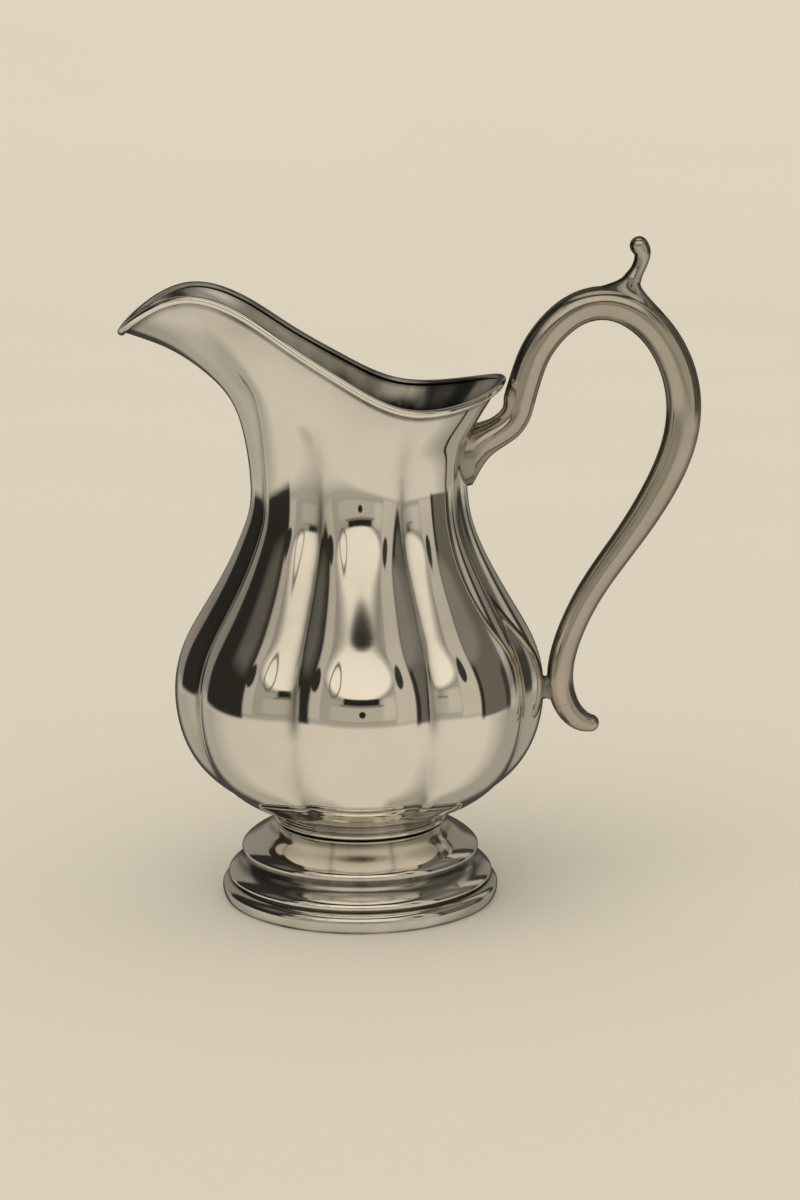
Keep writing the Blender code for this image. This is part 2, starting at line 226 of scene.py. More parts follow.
# the spur's and the handle's silver is coloured darker than the vessel's: painted shade; their
# roughness is their own finish
castShadedSilver = silverFinish("cast_and_filed_silver_shaded", {**polished,
                                                    "silver": "CEC9BE", "filmed": "B4AEA2",
                                                    "roughness": (0.08, 0.16),
                                                    "waveSize": 7.0, "waveDepth": 0.01})
handledShadedSilver = silverFinish("hand_worn_satin_silver_shaded", {**polished,
                                                        "silver": "CEC8BC", "filmed": "ADA699",
                                                        "roughness": (0.10, 0.17),
                                                        "scratchSpacing": 0.4, "waveDepth": 0.006})
frostedSolder = silverFinish("frosted_hard_solder", {**polished, "silver": "BDB6A6",
                                                     "roughness": (0.22, 0.38), "filmSize": 3.0})
planishedSilver = silverFinish("planished_silver_sheet", {**polished,
                                                          "roughness": (0.12, 0.22),
                                                          "waveSize": 6.0, "waveDepth": 0.05})
print("finishes ready")


# the lobed vessel, its wire edge and the disc in its bottom

vessel = dict(
    wall=1.0, lobes=8, valleySoftness=radians(1.9), columns=448, rows=110,
    # rows for placing other pieces on it, and the turn to a neighbour that gives a direction
    fineRows=400, aside=0.002,
    # radius on a lobe's crest, height, depth of the valleys, front-to-back share of the radius
    belly=((31.0, 35.6, 0.0, 1.0), (36.4, 36.6, 0.3, 1.0), (45.1, 39.8, 1.4, 1.0),
           (58.4, 49.0, 3.0, 1.0), (67.6, 63.0, 4.2, 1.0), (70.8, 81.0, 4.6, 1.0),
           (67.6, 98.5, 4.5, 1.0), (59.2, 114.2, 4.2, 0.995), (50.2, 130.0, 3.7, 0.98),
           (43.6, 145.0, 3.1, 0.95), (41.0, 160.0, 2.2, 0.925)),
    flareSteps=(0.30, 0.55, 0.77, 0.91, 1.0), flareRise=0.55, flareLip=0.46, flareOut=0.55,
)
# how dark the vessel is made, mostly by height: tarnish, with painted shade in the valleys, at the
# foot, under wire and rim, on the spout and inside; crease and streak run down the valleys
vesselTarnishAndShade = dict(
    creasePower=14,
    crease=((36, 0.25), (60, 0.10), (76, 0.15), (84, 0.65), (150, 0.65), (172, 0.0)),
    streakPower=4,
    streak=((36, 0.10), (46, 0.22), (64, 0.16), (72, 0.0),
            (142, 0.0), (156, 0.30), (176, 0.24), (190, 0.0)),
    footJoint=0.8, footJointReach=1.4,
    neck=((100, 0.0), (118, 0.16), (150, 0.12), (160, 0.0)),
    wire=1.25, wireReach=1.5, rim=0.20, rimReach=9.0,
    spout=((-75, 0.14), (-40, 0.10), (-15, 0.0)),
    insideAlong=((-70, 0.85), (-45, 0.60), (-15, 1.0), (30, 1.1), (54, 0.8)),
    insideDown=((0, 1.0), (1.2, 0.7), (4, 0.8), (10, 1.2), (30, 1.5)),
)
mouth = dict(
    wire=3.0, cadWire=3.2, gap=0.3, around=28, middle=(-12.0, 0.0), wallIntoWire=0.40,
    # painted shade on the wire: how fast it comes on, where from, and the most of it
    blackInside=(1.5, 0.35, 0.8), blackJoint=(1.6, 0.5, 1),
    # angle, x, y, height of the wire's middle, and how steeply the wall rises to it
    line=((0, 54.0, 0.0, 200.4, 56), (22, 49.5, 18.5, 198.4, 62), (45, 37.0, 35.0, 194.8, 69),
          (70, 15.5, 45.0, 194.2, 74), (95, -6.5, 41.0, 204.3, 78), (120, -28.0, 34.0, 217.6, 76),
          (142, -48.5, 30.5, 230.2, 68), (155, -63.5, 27.5, 233.4, 52),
          (166, -77.0, 21.0, 228.6, 34), (174, -85.8, 11.0, 221.8, 22),
          (180, -88.3, 0.0, 219.0, 17)),
)


def mouthCurve(angles):
    # the wire's middle and the wall's steepness, the same on both sides of the pitcher
    half = np.array(mouth["line"], float)
    knots = np.radians(half[:, 0])
    mirrored = half * np.array([1, 1, -1, 1, 1])
    knots = np.concatenate([-knots[:0:-1], knots, 2 * pi - knots[-2::-1]])
    values = np.concatenate([mirrored[:0:-1], half, mirrored[-2::-1]])[:, 1:]
    curve = smoothThrough(knots, values, np.mod(angles, 2 * pi))
    return curve[:, :3], np.radians(curve[:, 3])


def valleyShape(angles):
    # 1 in a valley, 0 on a crest
    half = pi / vessel["lobes"]
    soft = vessel["valleySoftness"]
    offCrest = np.abs((angles + half) % (2 * half) - half)
    toValley = np.sqrt((half - offCrest) ** 2 + soft ** 2) - soft
    return (1 - toValley / (sqrt(half ** 2 + soft ** 2) - soft)) ** 2


def vesselSurface(angles, rows):
    # lobed rings up to the neck, then a Bezier flare from it to the edge under the wire
    around = np.stack([np.cos(angles), np.sin(angles)], -1)
    rings = []
    for radius, height, depth, share in vessel["belly"]:
        flat = around * (radius - depth * valleyShape(angles))[:, None] * np.array([1, share])
        rings.append(np.column_stack([flat, np.full(len(angles), height)]))
    neck = rings[-1]
    wire, rise = mouthCurve(angles)
    outward = unit(wire[:, :2] - neck[:, :2] * vessel["flareOut"])
    heading = np.column_stack([outward * np.cos(rise)[:, None], np.sin(rise)])
    run = mouthCurve(angles + vessel["aside"])[0] - wire
    lip = wire - squareTo(heading, run) * (mouth["cadWire"] / 2 + mouth["gap"])
    climb = np.zeros_like(neck)
    climb[:, 2] = vessel["flareRise"] * (lip - neck)[:, 2]
    reach = vessel["flareLip"] * np.linalg.norm(lip - neck, axis=1)[:, None]
    for s in vessel["flareSteps"]:
        rings.append((1 - s) ** 3 * neck + 3 * (1 - s) ** 2 * s * (neck + climb)
                     + 3 * (1 - s) * s * s * (lip - heading * reach) + s ** 3 * lip)
    knots = np.arange(len(rings))
    return smoothThrough(knots, np.array(rings), np.linspace(0, knots[-1], rows))


def mouthWireLine(angles):
    edge, below = vesselSurface(angles, vessel["fineRows"])[[-1, -2]]
    run = vesselSurface(angles + vessel["aside"], vessel["fineRows"])[-1] - edge
    heading = squareTo(edge - below, run)
    return edge + heading * (mouth["cadWire"] / 2 + mouth["gap"]), heading, unit(run)


def vesselTarnishAndShadeAt(angles, outer, wire):
    look = vesselTarnishAndShade
    height = outer[:, :, 2]
    valleys = valleyShape(angles)[None, :]
    # crease and streaks: painted shade down the valleys, with some tarnish
    creased = valleys ** look["creasePower"] * along(height, look["crease"])
    streaks = valleys ** look["streakPower"] * along(height, look["streak"])
    bottom = vessel["belly"][0][1]
    # painted shade where the belly meets the foot
    joined = np.exp(-(height - bottom) / look["footJointReach"]) * look["footJoint"]
    # painted shade under the wire, and below the rim and on the spout
    below = np.linalg.norm(outer - wire[None], axis=2) - mouth["wire"] / 2
    nearWire = np.clip(look["wire"] - below / look["wireReach"], 0, 1)
    underRim = np.exp(-np.clip(below, 0, None) / look["rimReach"]) * look["rim"]
    rimAndSpoutShade = underRim + along(outer[:, :, 0], look["spout"])
    outside = creased + streaks + joined + nearWire + along(height, look["neck"]) + rimAndSpoutShade
    # the inside is made near black, tarnish and painted shade in the mouth, least on the lip and along
    # the spout
    inside = along(below, look["insideDown"]) * along(wire[None, :, 0], look["insideAlong"])
    return np.concatenate([np.clip(outside, 0, 1).ravel(), inside.ravel()])


def makeVessel():
    columns, rows = vessel["columns"], vessel["rows"]
    angles = np.linspace(0, 2 * pi, columns, endpoint=False)
    outer = vesselSurface(angles, rows)
    # the wall runs on into the mouth wire, which is soldered over its edge
    wire, heading, _ = mouthWireLine(angles)
    outer[-1] = wire - heading * mouth["wire"] * mouth["wallIntoWire"]
    around = np.roll(outer, -1, axis=1) - np.roll(outer, 1, axis=1)
    upward = np.gradient(outer, axis=0)
    inner = outer - unit(np.cross(around, upward)) * vessel["wall"]
    points = np.concatenate([outer.reshape(-1, 3), inner.reshape(-1, 3)])
    faces = gridFaces(rows, columns)
    shift = rows * columns
    faces += [tuple(shift + i for i in reversed(face)) for face in gridFaces(rows, columns)]
    top = (rows - 1) * columns
    for i in range(columns):
        j = (i + 1) % columns
        faces.append((top + i, top + j, shift + top + j, shift + top + i))
        faces.append((j, i, shift + i, shift + j))
    mesh = meshFrom("vessel", points, faces, vesselTarnishAndShadeAt(angles, outer, wire))
    return addPiece("lobed_vessel", mesh, "body_shell", mirrorBuffedSilver, sharp=60)


def makeMouthWire():
    angles = np.linspace(0, 2 * pi, vessel["columns"], endpoint=False)
    centre, heading, run = mouthWireLine(angles)
    side = np.cross(run, heading)
    turn = np.linspace(0, 2 * pi, mouth["around"], endpoint=False)
    heads = heading[:, None] * np.cos(turn)[None, :, None]
    sides = side[:, None] * np.sin(turn)[None, :, None]
    rings = centre[:, None] + (heads + sides) * mouth["wire"] / 2
    # painted shade on the side that faces the opening, and where the wire meets the wall
    outwards = np.sign((side[:, :2] * (centre[:, :2] - mouth["middle"])).sum(axis=1))
    away = unit(side) * outwards[:, None]
    facing = (away * side).sum(axis=1)[:, None] * np.sin(turn)[None]
    gain, start, most = mouth["blackInside"]
    inward = np.clip(-facing * gain - start, 0, most)
    gain, start, most = mouth["blackJoint"]
    tarnishAndShade = np.maximum(inward, np.clip(-np.cos(turn) * gain - start, 0, most)[None]).ravel()
    faces = gridFaces(len(angles), len(turn), closedUp=True)
    mesh = outwardFacing(meshFrom("mouth_wire", rings.reshape(-1, 3), faces, tarnishAndShade))
    return addPiece("mouth_wire", mesh, "mouth_rim_wire", wornWireSilver)


def makeBaseDisc():
    disc = dict(radius=30.6, low=35.6, thick=1.0, rise=0.5, edge=0.9, edgeFrom=29, tarnishAndShade=0.35,
                rings=14, around=96)
    turn = np.linspace(0, 2 * pi, disc["around"], endpoint=False)
    shares = np.linspace(0.04, 1.0, disc["rings"])
    # hammered very slightly hollow below, level on top
    under = [(r * disc["radius"], disc["low"] + disc["rise"] * (1 - r * r)) for r in shares]
    profile = under + [(r, z + disc["thick"] * (disc["edge"] if r > disc["edgeFrom"] else 1))
                       for r, z in under[::-1]]
    profile = [(r, min(z, disc["low"] + disc["thick"])) for r, z in profile]
    rings = [np.column_stack([r * np.cos(turn), r * np.sin(turn), np.full(len(turn), z)])
             for r, z in profile]
    count = len(turn)
    faces = gridFaces(len(profile), count)
    faces.append(tuple(range(count)))
    faces.append(tuple(range((len(profile) - 1) * count, len(profile) * count)))
    tarnishAndShade = np.full(len(profile) * count, disc["tarnishAndShade"])
    mesh = meshFrom("disc", np.concatenate(rings), faces, tarnishAndShade)
    return addPiece("base_disc", outwardFacing(mesh), "body_base_disc", planishedSilver, sharp=50)


makeVessel()
makeMouthWire()
makeBaseDisc()


# the turned foot

foot = dict(
    steps=288, wall=1.2, spacing=0.22,
    # runs of radius and height, each one smooth; the line has a crease between two runs
    collar=(((32.2, 35.0), (31.4, 34.2), (31.15, 33.4), (31.4, 32.7), (31.9, 32.3)),
            ((31.9, 32.3), (32.9, 32.05), (33.45, 31.3), (32.9, 30.6), (31.9, 30.5)),
            ((31.9, 30.5), (30.0, 30.5)), ((30.0, 30.5), (30.0, 35.0)), ((30.0, 35.0), (32.2, 35.0))),
    pedestal=(((31.2, 30.2), (33.4, 29.4), (37.0, 26.6), (40.8, 24.2), (44.2, 21.8), (45.85, 19.2),
               (45.4, 17.6)),
              ((45.4, 17.6), (45.9, 15.6), (48.0, 13.0), (50.3, 11.0), (51.15, 9.3), (50.6, 8.0))),
    ring=(((50.4, 7.7), (52.4, 6.5), (53.4, 4.8), (53.35, 2.6), (52.7, 0.7), (52.2, 0.0)),
          ((52.2, 0.0), (47.8, 0.0)), ((47.8, 0.0), (47.8, 7.7)), ((47.8, 7.7), (50.4, 7.7))),
    # tarnish and painted shade in the crevices: their radius and height, how far it reaches and how
    # dark it is
    collarTarnishAndShade=((((31.15, 33.6), (32.2, 35.0), (31.9, 30.5)), 0.9, 0.8),),
    pedestalTarnishAndShade=((((31.2, 30.2), (45.4, 17.6), (50.6, 8.0)), 1.0, 1.0),
                   (((45.6, 16.6), (46.8, 14.2)), 2.2, 0.75), (((35.0, 28.2),), 1.2, 0.45)),
    ringTarnishAndShade=((((50.4, 7.7), (52.2, 0.0)), 0.9, 1.0),),
    # the resting ring darker low down: painted shade
    ringShadeByHeight=((0, 0.45), (4, 0.35), (6, 0.1)),
)


def smoothProfile(runs):
    line = []
    for run in runs:
        run = np.array(run)
        lengths = np.concatenate([[0], np.cumsum(np.linalg.norm(np.diff(run, axis=0), axis=1))])
        count = max(2, int(lengths[-1] / foot["spacing"]))
        line += list(smoothThrough(lengths, run, np.linspace(0, lengths[-1], count))[:-1])
    line.append(np.array(runs[-1][-1]))
    return np.array(line)


def near(line, spots, reach):
    # 1 at a crevice and fading away from it
    gaps = [np.hypot(line[:, 0] - r, line[:, 1] - z) for r, z in spots]
    return np.exp(-(np.min(gaps, axis=0) / reach) ** 2)


def makeTurned(name, runs, node, creviceTarnishAndShade, wall=0.0, dullness=((0, 0.0), (1, 0.0))):
    line = smoothProfile(runs)
    if wall:
        heading = unit(np.gradient(line, axis=0))
        inward = np.column_stack([heading[:, 1], -heading[:, 0]])
        line = np.concatenate([line, (line + inward * wall)[::-1]])
    else:
        line = line[:-1]
    turn = np.linspace(0, 2 * pi, foot["steps"], endpoint=False)
    rings = [np.column_stack([r * np.cos(turn), r * np.sin(turn), np.full(len(turn), z)])
             for r, z in line]
    faces = gridFaces(len(line), len(turn), closedUp=True)
    black = sum(near(line, spots, reach) * depth for spots, reach, depth in creviceTarnishAndShade)
    # dullness here darkens the turning by height, as painted shade low on the resting ring
    tarnishAndShade = np.repeat(np.clip(black + along(line[:, 1], dullness), 0, 1), len(turn))
    mesh = outwardFacing(meshFrom(name, np.concatenate(rings), faces, tarnishAndShade))
    return addPiece(name, mesh, node, spunSilver, sharp=40)


makeTurned("throat_and_bead", foot["collar"], "foot_collar", foot["collarTarnishAndShade"])
makeTurned("stepped_foot", foot["pedestal"], "foot_pedestal", foot["pedestalTarnishAndShade"],
           wall=foot["wall"])
makeTurned("resting_ring", foot["ring"], "foot_base_ring", foot["ringTarnishAndShade"],
           dullness=foot["ringShadeByHeight"])


# the handle, from the tongue on the neck to the out-turned tip

handle = dict(
    width=0.90, wall=1.1, tipFrom=14.6, tipGap=0.045, around=64, stations=300, rootSink=0.35,
    # grime on both sides of the seam: how far it reaches on the outer and the inner side of the
    # tarnish at the seam and painted shade along the handle's edges beside it: how far it reaches on
    # the outer and the inner side of the loop, and how dark it is, as a strength and the most that it
    # may come to
    seamOuter=3.8, seamInner=3.2, seamBlack=(1.3, 0.95), tipBlack=(1.15, 0.90), tipRadius=4.6,
    rootBlack=0.5, rootBlackRings=4.0,
    # x, height and thickness from the side, neck to tail
    line=((60.6, 193.0, 12.1), (63.4, 202.6, 11.9), (68.4, 213.8, 12.0), (79.5, 225.2, 12.4),
          (93.0, 228.8, 12.8), (105.2, 224.2, 12.9), (115.3, 213.6, 12.9), (122.0, 197.0, 13.2),
          (121.6, 177.5, 13.0), (114.0, 158.0, 12.2), (102.5, 139.3, 11.0), (89.8, 120.8, 10.3),
          (81.4, 104.0, 10.0), (77.7, 91.0, 10.0), (77.6, 81.0, 10.1), (80.6, 72.6, 9.6),
          (85.3, 67.9, 8.4), (89.2, 66.6, 6.8)),
    # lower edge x and height, upper edge x and height, width
    root=((42.6, 159.8, 43.0, 183.4, 21.0), (47.7, 168.8, 47.8, 184.8, 15.5),
          (53.4, 174.0, 51.0, 186.4, 12.8), (60.2, 178.8, 53.8, 189.0, 11.6),
          (64.6, 185.2, 54.5, 191.8, 11.0)),
)


def handleLine(stations):
    stations = np.asarray(stations, float)
    knots = np.arange(len(handle["line"]))
    line = smoothThrough(knots, np.array(handle["line"]), stations)
    ahead = smoothThrough(knots, np.array(handle["line"]), stations + 0.01)
    heading = unit(ahead[:, :2] - line[:, :2])
    outward = np.column_stack([-heading[:, 1], heading[:, 0]])
    return line[:, :2], heading, outward, line[:, 2]


def skinX(sides, heights, clear=0.0):
    # how far from the axis the vessel's skin is on the handle side
    angles = np.radians(np.linspace(-30, 30, 61))
    surface = vesselSurface(angles, vessel["fineRows"])
    low = int(np.argmin(surface[:, 0, 2]))
    found = []
    for side, height in zip(sides, heights):
        across = [[np.interp(height, surface[low:, k, 2], surface[low:, k, i]) for i in (0, 1)]
                  for k in range(len(angles))]
        across = np.array(across)
        found.append(np.interp(side, across[:, 1], across[:, 0]) + clear)
    return np.array(found)


def besideSeam(away, reach, black):
    depth, most = black
    return np.clip(np.exp(-(away / reach) ** 2) * depth, 0, most)


def makeHalf(name, node, side):
    # a stamped half tube; its seam runs along the middle of the handle
    stations = np.linspace(0.0, handle["tipFrom"] + handle["tipGap"], handle["stations"])
    centre, _, outward, thick = handleLine(stations)
    # close points at the two ends keep the seam's edges crisp
    step = np.concatenate([[0, 0.15, 0.6], np.linspace(0, 180, handle["around"])[1:-1],
                           [179.4, 179.85, 180]])
    turn = np.radians(step)
    rings = []
    for shrink, angles in ((0.0, turn), (handle["wall"], turn[::-1])):
        reach = (thick / 2 - shrink)[:, None] * np.cos(angles)
        across = (thick * handle["width"] / 2 - shrink)[:, None] * np.sin(angles)
        x = centre[:, :1] + outward[:, :1] * reach
        z = centre[:, 1:] + outward[:, 1:] * reach
        rings.append(np.stack([x, side * across, z], -1))
    rings = np.concatenate(rings, axis=1)
    count = rings.shape[1]
    faces = gridFaces(len(rings), count)
    last = (len(rings) - 1) * count
    half = count // 2
    for start in (0, last):
        faces += [(start + i, start + i + 1, start + count - 2 - i, start + count - 1 - i)
                  for i in range(half - 1)]
    # the seam is tarnished and the strip beside it is darkened as painted shade along the handle's
    # edges
    arc = np.concatenate([turn, turn[::-1]])
    fromSeam = np.minimum(arc, pi - arc)[None] * thick[:, None] / 2
    strip = np.where(arc < pi / 2, handle["seamOuter"], handle["seamInner"])[None]
    tarnishAndShade = besideSeam(fromSeam, strip, handle["seamBlack"]).ravel()
    mesh = outwardFacing(meshFrom(name, rings.reshape(-1, 3), faces, tarnishAndShade))
    return addPiece(name, mesh, node, handledShadedSilver, sharp=50)


def ellipseRing(middle, out, thick, width, turn):
    flat = middle + out * (thick / 2 * np.cos(turn))[:, None]
    return np.column_stack([flat[:, 0], width / 2 * np.sin(turn), flat[:, 1]])


def closeEnds(rings):
    count = len(rings[0])
    faces = gridFaces(len(rings), count)
    faces.append(tuple(range(count)))
    faces.append(tuple(range((len(rings) - 1) * count, len(rings) * count)))
    return faces


def makeTip():
    stations = np.linspace(handle["tipFrom"] + handle["tipGap"], len(handle["line"]) - 1, 60)
    centre, heading, outward, thick = handleLine(stations)
    turn = np.linspace(0, 2 * pi, 96, endpoint=False)
    rings = [ellipseRing(c, o, t, t * handle["width"], turn)
             for c, o, t in zip(centre, outward, thick)]
    for a in np.radians(np.linspace(0, 88, 24)[1:]):
        end = centre[-1] + heading[-1] * thick[-1] / 2 * sin(a)
        rings.append(ellipseRing(end, outward[-1], thick[-1] * cos(a),
                                 thick[-1] * handle["width"] * cos(a), turn))
    # the tip's edges along the seam darkened: tarnish and painted shade
    fromSeam = np.abs(np.mod(turn + pi / 2, pi) - pi / 2) * handle["tipRadius"]
    around = besideSeam(fromSeam, handle["seamInner"], handle["tipBlack"])
    tarnishAndShade = np.tile(around, len(rings))
    mesh = outwardFacing(meshFrom("tip", np.concatenate(rings), closeEnds(rings), tarnishAndShade))
    return addPiece("scroll_tip", mesh, "handle_scroll_tip", handledShadedSilver)


def makeRoot():
    centre, _, outward, thick = handleLine([0.0, 0.5, 1.0, 1.5])
    edge = outward * thick[:, None] / 2
    joint = np.column_stack([centre - edge, centre + edge, thick * handle["width"]])
    sections = np.concatenate([np.array(handle["root"]), joint])
    last = len(handle["root"])
    sections = smoothThrough(np.arange(len(sections)), sections, np.linspace(0, last, 90))
    turn = np.linspace(0, 2 * pi, 128, endpoint=False)
    share = (1 + np.cos(turn)) / 2
    rings = []
    for xLow, zLow, xHigh, zHigh, width in sections:
        rings.append(np.column_stack([xLow + (xHigh - xLow) * share, width / 2 * np.sin(turn),
                                      zLow + (zHigh - zLow) * share]))
    # its foot follows the vessel's skin and is let into it a little
    rings[0][:, 0] = skinX(rings[0][:, 1], rings[0][:, 2], -handle["rootSink"])
    # painted shade where the tongue meets the neck, fading along the tongue
    fading = np.exp(-np.arange(len(rings)) / handle["rootBlackRings"]) * handle["rootBlack"]
    tarnishAndShade = np.repeat(fading, len(turn))
    mesh = outwardFacing(meshFrom("root", np.concatenate(rings), closeEnds(rings), tarnishAndShade))
    return addPiece("handle_tongue", mesh, "handle_root", handledShadedSilver, sharp=70)


def makePad():
    # solder that fills the gap between the tubes and the belly, waisted in the middle
    pad = dict(height=81.0, length=10.0, width=6.5, tarnishAndShade=0.8)
    turn = np.linspace(0, 2 * pi, 64, endpoint=False)
    centre, _, outward, thick = handleLine(np.linspace(12.5, 15.0, 60))
    rings = []
    for share, size in ((0, 0.3), (0, 0.7), (0, 1.0), (0.15, 0.94), (0.5, 0.88), (0.85, 0.94),
                        (1, 1.0), (1, 0.6), (1, 0.3)):
        across = pad["width"] / 2 * size * np.sin(turn)
        z = pad["height"] + pad["length"] / 2 * size * np.cos(turn)
        outer = []
        for side, level in zip(across, z):
            bulge = thick / 2 * np.sqrt(1 - (side / (thick * handle["width"] / 2)) ** 2) - 0.1
            face = centre - outward * bulge[:, None]
            outer.append(np.interp(-level, -face[:, 1], face[:, 0]))
        inner = skinX(across, z, -0.1)
        rings.append(np.column_stack([inner + (np.array(outer) - inner) * share, across, z]))
    tarnishAndShade = np.full(len(rings) * len(turn), pad["tarnishAndShade"])
    mesh = meshFrom("pad", np.concatenate(rings), closeEnds(rings), tarnishAndShade)
    return addPiece("solder_pad", outwardFacing(mesh), "handle_lower_pad", frostedSolder, sharp=60)


makeHalf("left_half_tube", "handle_left_half", -1)
makeHalf("right_half_tube", "handle_right_half", 1)
makeTip()
makeRoot()
makePad()


# the thumb spur

spur = dict(
    station=4.70, length=24.0, width=8.6, perStation=13.2, sink=0.15,
    filletReach=0.80, filletLift=0.6, filletPull=2.5,
    edgeBlack=1.2, baseBlack=0.5, baseBlackRings=16.0,
    # x, height, thickness along the handle and across it
    line=((102.6, 238.0, 6.8, 6.4), (103.9, 240.5, 5.5, 5.6), (105.1, 243.0, 5.4, 5.3),
          (105.9, 245.7, 5.8, 5.4), (105.8, 248.2, 6.6, 5.8), (104.7, 250.2, 7.0, 6.2)),
)


def spurSeat(size, lift, turn):
    stations = spur["station"] - size * spur["length"] / 2 * np.cos(turn) / spur["perStation"]
    centre, _, outward, thick = handleLine(stations)
    across = size * spur["width"] / 2 * np.sin(turn)
    bulge = thick / 2 * np.sqrt(1 - (across / (thick * handle["width"] / 2)) ** 2)
    seat = centre + outward * (bulge + lift)[:, None]
    return np.column_stack([seat[:, 0], across, seat[:, 1]])


def makeSpur():
    turn = np.linspace(0, 2 * pi, 96, endpoint=False)
    knots = np.arange(len(spur["line"]))
    places = np.linspace(0, knots[-1], 60)
    line = smoothThrough(knots, np.array(spur["line"]), places)
    heading = unit(np.gradient(line[:, :2], axis=0))
    out = np.column_stack([-heading[:, 1], heading[:, 0]])
    stem = [ellipseRing(p[:2], o, p[2], p[3], turn) for p, o in zip(line, out)]
    rings = [spurSeat(size, -spur["sink"], turn) for size in (0.4, 0.75)]
    seat = spurSeat(1.0, -spur["sink"], turn)
    creep = spurSeat(spur["filletReach"], spur["filletLift"], turn)
    below = stem[0] - np.array([heading[0, 0], 0, heading[0, 1]]) * spur["filletPull"]
    for t in np.linspace(0, 1, 36)[:-1]:
        rings.append((1 - t) ** 3 * seat + 3 * (1 - t) ** 2 * t * creep
                     + 3 * (1 - t) * t * t * below + t ** 3 * stem[0])
    rings += stem
    for a in np.radians(np.linspace(0, 88, 24)[1:]):
        end = line[-1, :2] + heading[-1] * line[-1, 2] / 2 * sin(a)
        rings.append(ellipseRing(end, out[-1], line[-1, 2] * cos(a), line[-1, 3] * cos(a), turn))
    # painted shade on the spur's front and back edges and where it sits on the handle
    edges = np.abs(np.cos(turn))[None] ** 3 * spur["edgeBlack"]
    base = np.exp(-np.arange(len(rings)) / spur["baseBlackRings"])[:, None] * spur["baseBlack"]
    tarnishAndShade = (edges + base).clip(0, 1).ravel()
    mesh = outwardFacing(meshFrom("spur", np.concatenate(rings), closeEnds(rings), tarnishAndShade))
    return addPiece("thumb_spur_casting", mesh, "thumb_spur", castShadedSilver)


makeSpur()


# floor, light and camera

studio = dict(distance=1.0, height=0.330, azimuth=-2.25, pitch=12.09, aimX=-0.0038, lens=80.3,
              floorFlat=2.2, floorBend=3.6, paper="E9E4DA", paperGrain="E2DDD0",
              surround="FFF8EA", surroundStrength=0.80, keyStrength=0.55)

# what stands round the table and shows in the silver. A card or bar runs from one heading to
# another and from one height to another, in degrees seen from the pitcher; its brightness and how
# soft its edges are across and up come next. A later one stands in front of an earlier one
reflections = dict(
    # the cards are cream: green and blue against red
    wall=0.27, warmth=(0.905, 0.76),
    cards=(
        # the table: pale, its edge in half shade, dimmer at both sides, the dark room behind
        (-200, 200, -95, -4, 0.40, 1, 1), (-200, 200, -95, -8.5, 0.69, 1, 1.5),
        (-220, -105, -75, -9.5, 0.46, 18, 3), (92, 220, -75, -9.5, 0.38, 18, 3),
        (-200, -150, -50, 30, 0.07, 7, 4), (150, 200, -50, 30, 0.07, 7, 4),
        # left: far wall, wide black drape with a paler fold, then white card
        (-166, -131, -8, 60, 0.27, 4, 3), (-133, -66, -9.5, 66, 0.028, 2, 1),
        (-101, -74, 24, 44, 0.13, 5, 5), (-66, -52, -5, 56, 0.50, 1.5, 1),
        # right: white card, grey drape with darker edges, narrow white card, far wall
        (40, 66, -7, 56, 0.55, 1, 1), (66, 118, -10, 66, 0.14, 2, 1),
        (66, 71, -10, 50, 0.03, 1, 3), (108, 118, -10, 12, 0.05, 2, 3), (66, 106, 30, 44, 0.24, 3, 3),
        (120, 131, 6, 60, 0.46, 1.5, 4), (132, 141, -8, 60, 0.04, 1.5, 4),
        (142, 160, -8, 60, 0.24, 2, 4),
        # front: pale wall, low sill, the window's dark bar
        (-52, 41, -4, 56, 0.38, 1, 1), (-40, 40, -3, 9, 0.46, 2, 0.6), (24, 40, -3, 17, 0.56, 3, 2),
        # overhead: dark, with one wide softbox
        (-200, 200, 56, 95, 0.09, 1, 3), (-98, 98, 63, 95, 0.80, 4, 2),
    ),
    # the round window in its dark surround, and small dark things about the room: heading,
    # height, half width, half height, width of the rim where it is only a ring, brightness
    rounds=((-5, 34, 48, 20.5, 0, 0.06), (-5, 34, 46, 19.2, 0, 0.92), (-1, 55, 80, 4.8, 0, 0.010),
            (-37, 29, 8, 14, 1.6, 0.20), (-63, 24, 5.5, 9, 0, 0.03), (50, 29, 5, 9, 0, 0.04),
            (-1, 3, 4, 3, 0, 0.02)),
    bars=((-24, 20, 11, 17, 0.02, 1.5, 0.6), (-28, 25, 9.5, 11, 0.20, 1.5, 0.4)),
)


